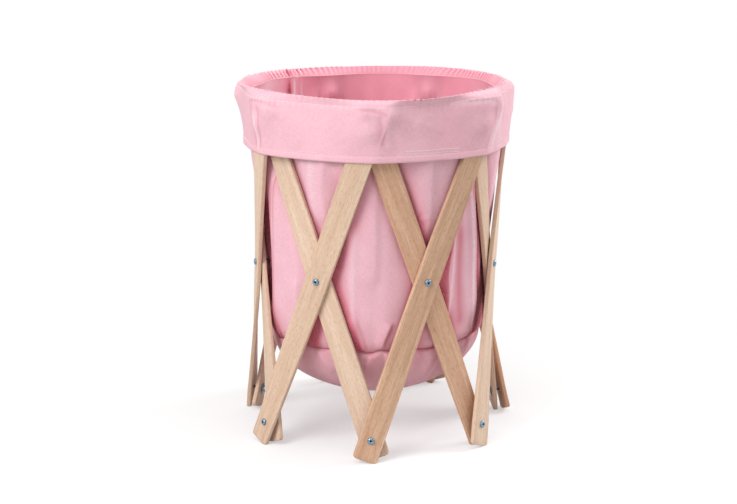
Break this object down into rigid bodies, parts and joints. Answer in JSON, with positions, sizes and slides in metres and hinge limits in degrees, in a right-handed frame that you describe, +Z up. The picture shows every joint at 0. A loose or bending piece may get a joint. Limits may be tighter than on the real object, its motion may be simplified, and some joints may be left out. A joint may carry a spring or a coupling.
{
  "type": "toy storage basket",
  "caption": "Collapsible toy storage basket: a folding ring of crossed wooden slats carries a round-bottomed canvas bag with a turned-over cuff.",
  "frame": {"origin": "on the floor, on the basket's vertical axis, level with the flats of the slats' feet", "axes": "+Z up along the basket's axis of sevenfold symmetry; -Y towards the front upright, where an outer and an inner slat share their bolts"},
  "size_m": [0.4108, 0.4054, 0.5021],
  "materials": {
    "beech": "bare sanded beech with eased edges",
    "zinc": "bright zinc-plated steel",
    "canvas": "woven cotton canvas, dyed pink, matt",
    "elastic": "woven elastic tape"
  },
  "bodies": {
    "bag": {"bag_wall": "canvas", "bag_bottom": "canvas", "bag_cuff": "canvas", "rim_elastic": "elastic"},
    "mid_1": {"mid_bolt_1": "zinc", "mid_nut_1": "zinc"},
    "outer_1": {"outer_slat_1": "beech", "foot_bolt_1": "zinc", "foot_nut_1": "zinc", "top_bolt_2": "zinc", "top_nut_2": "zinc"},
    "inner_1": {"inner_slat_1": "beech"},
    "mid_2": {"mid_bolt_2": "zinc", "mid_nut_2": "zinc"},
    "outer_2": {"outer_slat_2": "beech", "foot_bolt_2": "zinc", "foot_nut_2": "zinc", "top_bolt_3": "zinc", "top_nut_3": "zinc"},
    "inner_2": {"inner_slat_2": "beech"},
    "mid_3": {"mid_bolt_3": "zinc", "mid_nut_3": "zinc"},
    "outer_3": {"outer_slat_3": "beech", "foot_bolt_3": "zinc", "foot_nut_3": "zinc", "top_bolt_4": "zinc", "top_nut_4": "zinc"},
    "inner_3": {"inner_slat_3": "beech"},
    "mid_4": {"mid_bolt_4": "zinc", "mid_nut_4": "zinc"},
    "outer_4": {"outer_slat_4": "beech", "foot_bolt_4": "zinc", "foot_nut_4": "zinc", "top_bolt_5": "zinc", "top_nut_5": "zinc"},
    "inner_4": {"inner_slat_4": "beech"},
    "mid_5": {"mid_bolt_5": "zinc", "mid_nut_5": "zinc"},
    "outer_5": {"outer_slat_5": "beech", "foot_bolt_5": "zinc", "foot_nut_5": "zinc", "top_bolt_6": "zinc", "top_nut_6": "zinc"},
    "inner_5": {"inner_slat_5": "beech"},
    "mid_6": {"mid_bolt_6": "zinc", "mid_nut_6": "zinc"},
    "outer_6": {"outer_slat_6": "beech", "foot_bolt_6": "zinc", "foot_nut_6": "zinc", "top_bolt_7": "zinc", "top_nut_7": "zinc"},
    "inner_6": {"inner_slat_6": "beech"},
    "mid_7": {"mid_bolt_7": "zinc", "mid_nut_7": "zinc"},
    "outer_7": {"outer_slat_7": "beech", "foot_bolt_7": "zinc", "foot_nut_7": "zinc", "top_bolt_1": "zinc", "top_nut_1": "zinc"},
    "inner_7": {"inner_slat_7": "beech"}
  },
  "joints": [
    {"name": "mid_slide_1", "type": "slide", "parent": "bag", "child": "mid_1", "axis": [-0.431, 0.8951, -0.1144], "range_m": [0, 0.11843]},
    {"name": "fold", "type": "hinge", "parent": "mid_1", "child": "outer_1", "pos_m": [0.07349, -0.15261, 0.2461], "axis": [0.4339, -0.901, 0], "range_deg": [0, 14.5], "deforming": ["bag_wall", "bag_bottom", "bag_cuff", "rim_elastic"]},
    {"name": "inner_turn_1", "type": "hinge", "parent": "mid_1", "child": "inner_1", "pos_m": [0.07349, -0.15261, 0.2461], "axis": [-0.4339, 0.901, 0], "range_deg": [0, 14.51]},
    {"name": "mid_slide_2", "type": "slide", "parent": "bag", "child": "mid_2", "axis": [-0.9685, 0.2211, -0.1144], "range_m": [0, 0.11843]},
    {"name": "outer_turn_2", "type": "hinge", "parent": "mid_2", "child": "outer_2", "pos_m": [0.16514, -0.03769, 0.2461], "axis": [0.9749, -0.2225, 0], "range_deg": [0, 14.51]},
    {"name": "inner_turn_2", "type": "hinge", "parent": "mid_2", "child": "inner_2", "pos_m": [0.16514, -0.03769, 0.2461], "axis": [-0.9749, 0.2225, 0], "range_deg": [0, 14.51]},
    {"name": "mid_slide_3", "type": "slide", "parent": "bag", "child": "mid_3", "axis": [-0.7767, -0.6194, -0.1144], "range_m": [0, 0.11843]},
    {"name": "outer_turn_3", "type": "hinge", "parent": "mid_3", "child": "outer_3", "pos_m": [0.13243, 0.10561, 0.2461], "axis": [0.7818, 0.6235, 0], "range_deg": [0, 14.51]},
    {"name": "inner_turn_3", "type": "hinge", "parent": "mid_3", "child": "inner_3", "pos_m": [0.13243, 0.10561, 0.2461], "axis": [-0.7818, -0.6235, 0], "range_deg": [0, 14.51]},
    {"name": "mid_slide_4", "type": "slide", "parent": "bag", "child": "mid_4", "axis": [0, -0.9934, -0.1144], "range_m": [0, 0.11843]},
    {"name": "outer_turn_4", "type": "hinge", "parent": "mid_4", "child": "outer_4", "pos_m": [0, 0.16938, 0.2461], "axis": [0, 1, 0], "range_deg": [0, 14.51]},
    {"name": "inner_turn_4", "type": "hinge", "parent": "mid_4", "child": "inner_4", "pos_m": [0, 0.16938, 0.2461], "axis": [0, -1, 0], "range_deg": [0, 14.51]},
    {"name": "mid_slide_5", "type": "slide", "parent": "bag", "child": "mid_5", "axis": [0.7767, -0.6194, -0.1144], "range_m": [0, 0.11843]},
    {"name": "outer_turn_5", "type": "hinge", "parent": "mid_5", "child": "outer_5", "pos_m": [-0.13243, 0.10561, 0.2461], "axis": [-0.7818, 0.6235, 0], "range_deg": [0, 14.51]},
    {"name": "inner_turn_5", "type": "hinge", "parent": "mid_5", "child": "inner_5", "pos_m": [-0.13243, 0.10561, 0.2461], "axis": [0.7818, -0.6235, 0], "range_deg": [0, 14.51]},
    {"name": "mid_slide_6", "type": "slide", "parent": "bag", "child": "mid_6", "axis": [0.9685, 0.2211, -0.1144], "range_m": [0, 0.11843]},
    {"name": "outer_turn_6", "type": "hinge", "parent": "mid_6", "child": "outer_6", "pos_m": [-0.16514, -0.03769, 0.2461], "axis": [-0.9749, -0.2225, 0], "range_deg": [0, 14.51]},
    {"name": "inner_turn_6", "type": "hinge", "parent": "mid_6", "child": "inner_6", "pos_m": [-0.16514, -0.03769, 0.2461], "axis": [0.9749, 0.2225, 0], "range_deg": [0, 14.51]},
    {"name": "mid_slide_7", "type": "slide", "parent": "bag", "child": "mid_7", "axis": [0.431, 0.8951, -0.1144], "range_m": [0, 0.11843]},
    {"name": "outer_turn_7", "type": "hinge", "parent": "mid_7", "child": "outer_7", "pos_m": [-0.07349, -0.15261, 0.2461], "axis": [-0.4339, -0.901, 0], "range_deg": [0, 14.51]},
    {"name": "inner_turn_7", "type": "hinge", "parent": "mid_7", "child": "inner_7", "pos_m": [-0.07349, -0.15261, 0.2461], "axis": [0.4339, 0.901, 0], "range_deg": [0, 14.51]}
  ],
  "couplings": [
    {"joint": "mid_slide_1", "follows": "fold", "m_per_rad": 0.46794},
    {"joint": "inner_turn_1", "follows": "fold", "ratio": 1},
    {"joint": "mid_slide_2", "follows": "fold", "m_per_rad": 0.46794},
    {"joint": "outer_turn_2", "follows": "fold", "ratio": 1},
    {"joint": "inner_turn_2", "follows": "fold", "ratio": 1},
    {"joint": "mid_slide_3", "follows": "fold", "m_per_rad": 0.46794},
    {"joint": "outer_turn_3", "follows": "fold", "ratio": 1},
    {"joint": "inner_turn_3", "follows": "fold", "ratio": 1},
    {"joint": "mid_slide_4", "follows": "fold", "m_per_rad": 0.46794},
    {"joint": "outer_turn_4", "follows": "fold", "ratio": 1},
    {"joint": "inner_turn_4", "follows": "fold", "ratio": 1},
    {"joint": "mid_slide_5", "follows": "fold", "m_per_rad": 0.46794},
    {"joint": "outer_turn_5", "follows": "fold", "ratio": 1},
    {"joint": "inner_turn_5", "follows": "fold", "ratio": 1},
    {"joint": "mid_slide_6", "follows": "fold", "m_per_rad": 0.46794},
    {"joint": "outer_turn_6", "follows": "fold", "ratio": 1},
    {"joint": "inner_turn_6", "follows": "fold", "ratio": 1},
    {"joint": "mid_slide_7", "follows": "fold", "m_per_rad": 0.46794},
    {"joint": "outer_turn_7", "follows": "fold", "ratio": 1},
    {"joint": "inner_turn_7", "follows": "fold", "ratio": 1}
  ]
}
